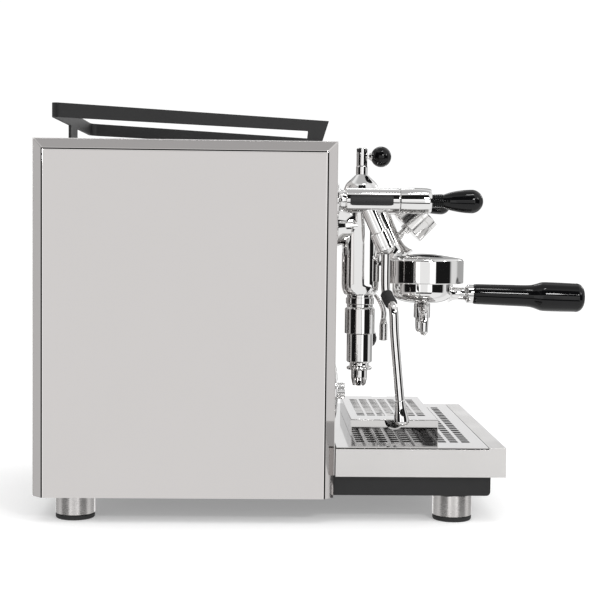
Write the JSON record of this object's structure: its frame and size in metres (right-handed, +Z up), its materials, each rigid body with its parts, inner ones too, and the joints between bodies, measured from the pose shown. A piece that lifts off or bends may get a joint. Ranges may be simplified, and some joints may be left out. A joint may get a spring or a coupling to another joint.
{
  "type": "espresso machine",
  "caption": "Worktop espresso machine with a mirror-steel casing, lever brew group and portafilter, joystick steam and water valves, drip tray and cup rail.",
  "frame": {"origin": "on the worktop, under the middle of the overall box", "axes": "+X to the user's right, -Y towards the user with the portafilter handle pointing that way, +Z up"},
  "size_m": [0.34, 0.5888, 0.4184],
  "materials": {
    "mirror_steel": "mirror-polished stainless sheet, slightly warm",
    "satin_steel": "fine satin stainless sheet",
    "chrome": "bright chrome over polished brass",
    "turned_steel": "turned stainless with fine rings",
    "wand_steel": "polished stainless tube",
    "boiler_steel": "plain stainless with weld bands",
    "box_steel": "grey coated sheet",
    "black_coat": "fine-textured matt black powder coat",
    "motor_paint": "dark grey enamel on a ribbed housing",
    "brass": "cast and machined brass",
    "black_gloss": "polished black thermoset",
    "black_moulding": "black moulded nylon",
    "rubber": "black rubber",
    "needle_paint": "black painted pointer",
    "tank_plastic": "translucent plastic",
    "clear_glass": "clear flat glass"
  },
  "bodies": {
    "chassis": {"base_frame": "black_coat", "foot_front_left": "turned_steel", "foot_front_right": "turned_steel", "foot_rear_left": "turned_steel", "foot_rear_right": "turned_steel", "foot_pad_front_left": "rubber", "foot_pad_front_right": "rubber", "foot_pad_rear_left": "rubber", "foot_pad_rear_right": "rubber", "side_panel_left": "mirror_steel", "side_panel_right": "mirror_steel", "front_panel": "mirror_steel", "back_panel": "satin_steel", "cup_tray": "satin_steel", "cup_rail": "black_coat", "steam_boiler": "boiler_steel", "brew_boiler": "boiler_steel", "pump_motor": "motor_paint", "rotary_pump": "brass", "control_box": "box_steel", "power_inlet": "black_moulding", "group_body": "chrome", "mushroom_cap": "chrome", "upper_sleeve": "chrome", "lower_sleeve": "chrome", "drain_nozzle": "chrome", "gauge_case": "turned_steel", "gauge_lens": "clear_glass", "shower_screen": "satin_steel", "steam_valve_body": "chrome", "water_valve_body": "chrome", "steam_valve_collar": "chrome", "water_valve_collar": "chrome", "steam_wand_nut": "chrome", "water_wand_nut": "chrome", "dial_plate": "chrome"},
    "gauge_pointer": {"gauge_needle": "needle_paint"},
    "flow_paddle": {"flow_control_post": "chrome", "flow_control_ball": "black_gloss"},
    "brew_handle": {"brew_lever": "chrome", "brew_lever_knob": "black_gloss"},
    "portafilter_set": {"portafilter": "chrome", "portafilter_handle": "black_gloss", "filter_basket": "satin_steel", "double_spout": "chrome"},
    "steam_joystick": {"steam_knob": "black_gloss"},
    "water_joystick": {"water_knob": "black_gloss"},
    "steam_swivel": {"steam_wand_ball": "chrome"},
    "steam_arm": {"steam_wand": "wand_steel", "steam_wand_grip": "rubber", "steam_tip": "chrome"},
    "water_swivel": {"water_wand_ball": "chrome"},
    "water_arm": {"water_wand": "wand_steel", "water_nozzle": "turned_steel"},
    "selector": {"power_knob": "chrome"},
    "tray": {"drip_tray": "satin_steel"},
    "grid": {"drip_grid": "satin_steel"},
    "platform": {"cup_platform": "satin_steel"},
    "tank": {"water_tank": "tank_plastic"},
    "lid": {"tank_lid": "satin_steel"}
  },
  "joints": [
    {"name": "brew_lever_turn", "type": "hinge", "parent": "chassis", "child": "brew_handle", "pos_m": [0.059, -0.04322, 0.25], "axis": [-1, 0, 0], "range_deg": [0, 70]},
    {"name": "flow_control_turn", "type": "hinge", "parent": "chassis", "child": "flow_paddle", "pos_m": [0, -0.04322, 0.37], "axis": [0, 0, 1], "range_deg": [-180, 180]},
    {"name": "gauge_needle_turn", "type": "hinge", "parent": "chassis", "child": "gauge_pointer", "pos_m": [0, -0.10856, 0.31074], "axis": [0, 0.7071, -0.7071], "range_deg": [0, 270], "stiffness_Nm_per_rad": 0.001},
    {"name": "portafilter_turn", "type": "hinge", "parent": "chassis", "child": "portafilter_set", "pos_m": [0, -0.11272, 0.24], "axis": [0, 0, -1], "range_deg": [0, 60]},
    {"name": "steam_joystick_tilt", "type": "hinge", "parent": "chassis", "child": "steam_joystick", "pos_m": [-0.121, -0.09772, 0.3252], "axis": [1, 0, 0], "range_deg": [-12, 12]},
    {"name": "water_joystick_tilt", "type": "hinge", "parent": "chassis", "child": "water_joystick", "pos_m": [0.121, -0.09772, 0.3252], "axis": [1, 0, 0], "range_deg": [-12, 12]},
    {"name": "steam_wand_forward", "type": "hinge", "parent": "chassis", "child": "steam_swivel", "pos_m": [-0.121, -0.06042, 0.2775], "axis": [-1, 0, 0], "range_deg": [-5, 20]},
    {"name": "steam_wand_sideways", "type": "hinge", "parent": "steam_swivel", "child": "steam_arm", "pos_m": [-0.121, -0.06042, 0.2775], "axis": [0, 1, 0], "range_deg": [-4, 20]},
    {"name": "water_wand_forward", "type": "hinge", "parent": "chassis", "child": "water_swivel", "pos_m": [0.121, -0.06042, 0.2775], "axis": [-1, 0, 0], "range_deg": [-5, 20]},
    {"name": "water_wand_sideways", "type": "hinge", "parent": "water_swivel", "child": "water_arm", "pos_m": [0.121, -0.06042, 0.2775], "axis": [0, -1, 0], "range_deg": [-4, 20]},
    {"name": "selector_turn", "type": "hinge", "parent": "chassis", "child": "selector", "pos_m": [-0.105, -0.00822, 0.127], "axis": [0, 1, 0], "range_deg": [0, 90]},
    {"name": "tray_slide", "type": "slide", "parent": "chassis", "child": "tray", "axis": [0, -1, 0], "range_m": [0, 0.17]},
    {"name": "grid_lift", "type": "slide", "parent": "tray", "child": "grid", "axis": [0, 0, 1], "range_m": [0, 0.008]},
    {"name": "platform_lift", "type": "slide", "parent": "grid", "child": "platform", "axis": [0, 0, 1], "range_m": [0, 0.015]},
    {"name": "tank_lift", "type": "slide", "parent": "chassis", "child": "tank", "axis": [0, 0, 1], "range_m": [0, 0.2]},
    {"name": "lid_lift", "type": "slide", "parent": "tank", "child": "lid", "axis": [0, 0, 1], "range_m": [0, 0.05]}
  ]
}
